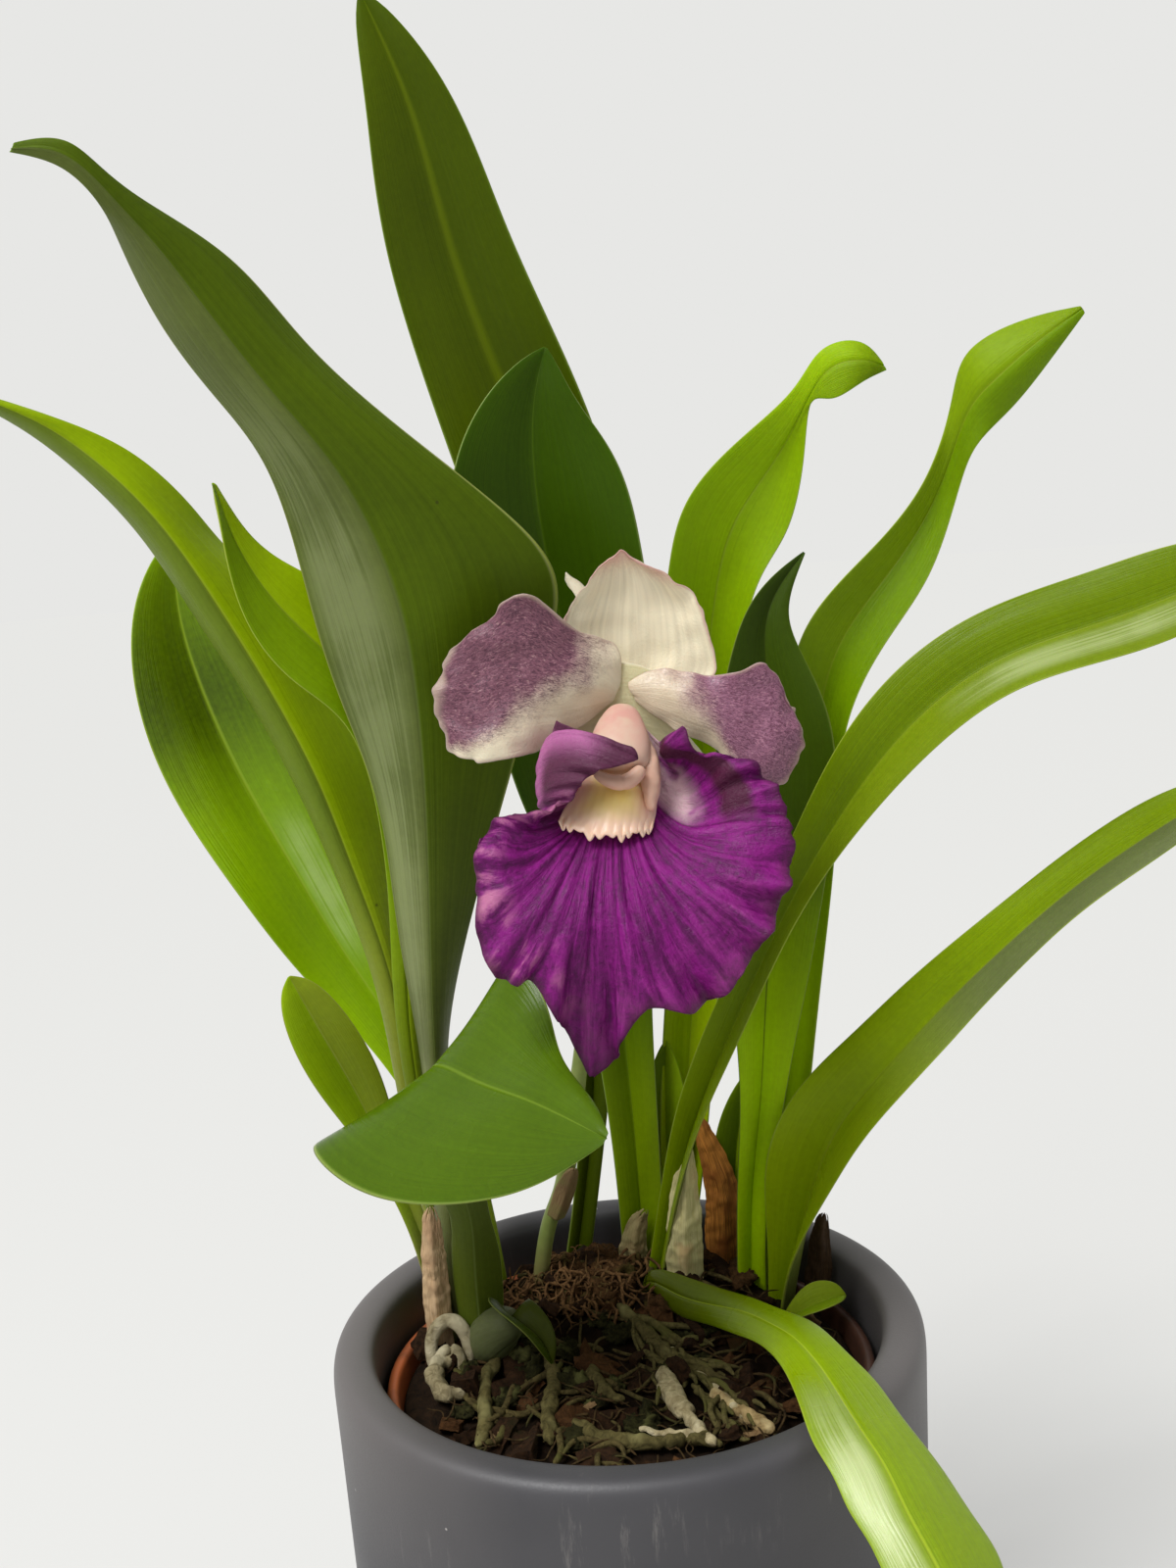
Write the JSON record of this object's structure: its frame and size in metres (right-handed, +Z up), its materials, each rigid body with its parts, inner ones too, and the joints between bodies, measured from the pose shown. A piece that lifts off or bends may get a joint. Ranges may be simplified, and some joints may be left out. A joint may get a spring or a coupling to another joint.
{
  "type": "potted orchid",
  "caption": "Orchid with fans of long strap leaves and one open purple and white flower, in bark in a round dark grey cover pot.",
  "frame": {"origin": "centre of the cover pot's underside", "axes": "+Z up, -Y the side the flower faces, +X to the right of someone facing the flower"},
  "size_m": [0.2783, 0.1521, 0.4104],
  "materials": {
    "cover_glaze": "matt dark grey",
    "terracotta_plastic": "matt terracotta colour",
    "bark": "rough bark, moss and fibre",
    "root_skin": "papery grey-green skin",
    "leaf_green": "waxy semi-gloss leaf",
    "leaf_underside": "dull leaf underside",
    "stalk_green": "smooth stalk",
    "dry_sheath": "dry papery sheath",
    "petal_mauve": "soft mottled petal",
    "sepal_cream": "soft petal, faint veins",
    "lip_purple": "velvety ribbed lip",
    "callus_cream": "waxy cream",
    "column_pink": "waxy pale pink"
  },
  "bodies": {
    "root": {"leaf_grey": "leaf_underside", "leaf_arch": "leaf_green", "leaf_back_left": "leaf_green", "leaf_pointed": "leaf_green", "leaf_short_left": "leaf_green", "leaf_bent": "leaf_green", "leaf_bud": "leaf_green", "leaf_tall": "leaf_green", "leaf_broad": "leaf_green", "leaf_back_right": "leaf_green", "leaf_long_right": "leaf_green", "leaf_drooping": "leaf_green", "leaf_dark": "leaf_green", "leaf_twisted": "leaf_green", "leaf_low_right": "leaf_green", "leaf_small_right": "leaf_green", "sheath_left": "dry_sheath", "sheath_brown": "dry_sheath", "sheath_pale": "dry_sheath", "root_knot": "root_skin", "root_left": "root_skin", "root_mid": "root_skin", "root_curl": "root_skin", "root_long": "root_skin", "root_thick": "root_skin", "root_front": "root_skin", "root_beige": "root_skin", "stalk_bract": "stalk_green", "flower_stalk": "stalk_green", "ovary": "stalk_green", "cover_pot": "cover_glaze", "nursery_pot": "terracotta_plastic", "substrate": "bark", "dorsal_sepal": "sepal_cream", "sepal_left": "sepal_cream", "sepal_right": "sepal_cream", "petal_left": "petal_mauve", "petal_right": "petal_mauve", "lip": "lip_purple", "callus": "callus_cream", "anther_cap": "callus_cream", "column": "column_pink"}
  },
  "joints": []
}
